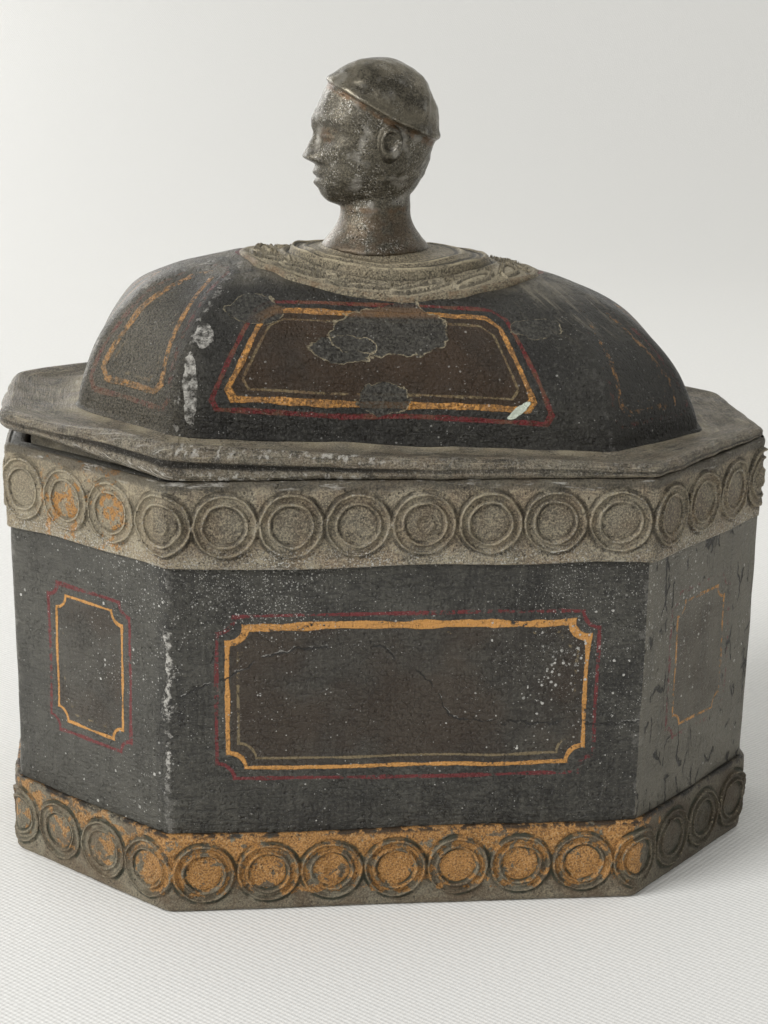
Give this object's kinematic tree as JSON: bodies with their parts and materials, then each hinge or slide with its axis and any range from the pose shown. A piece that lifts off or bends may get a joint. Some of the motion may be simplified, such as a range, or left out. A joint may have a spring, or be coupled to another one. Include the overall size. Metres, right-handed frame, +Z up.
{
  "type": "octagonal lidded box",
  "caption": "Eight-sided cast-lead tobacco box with ring friezes, gilt line panels on black paint, a domed lift-off lid with a head finial, and a loose press inside.",
  "frame": {"origin": "middle of the base, on the surface that the box stands on", "axes": "+Z up, +X along the box's long side to the viewer's right, front face towards -Y"},
  "size_m": [0.1236, 0.075, 0.1271],
  "materials": {
    "black_paint": "worn black japan paint with gilt and red lines",
    "frieze_lead": "dull cast lead with traces of gilt",
    "frieze_gilt": "worn gilt on cast lead",
    "flange_lead": "worn bare lead",
    "finial_lead": "grainy dark cast lead",
    "bare_lead": "plain cast lead"
  },
  "bodies": {
    "box": {"wall_strip": "black_paint", "base_plate": "bare_lead", "upper_frieze": "frieze_lead", "lower_frieze": "frieze_gilt"},
    "lid": {"lid_flange": "flange_lead", "locating_rim": "bare_lead", "lid_dome": "black_paint", "crown_medallion": "flange_lead", "finial_head": "finial_lead", "finial_peg": "bare_lead", "peg_rove": "bare_lead"},
    "press": {"press_plate": "bare_lead", "press_knob": "bare_lead"}
  },
  "joints": [
    {"name": "lid_lift", "type": "slide", "parent": "box", "child": "lid", "axis": [0, 0, 1], "range_m": [0, 0.09]},
    {"name": "press_slide", "type": "slide", "parent": "box", "child": "press", "axis": [0, 0, 1], "range_m": [0, 0.052]}
  ]
}
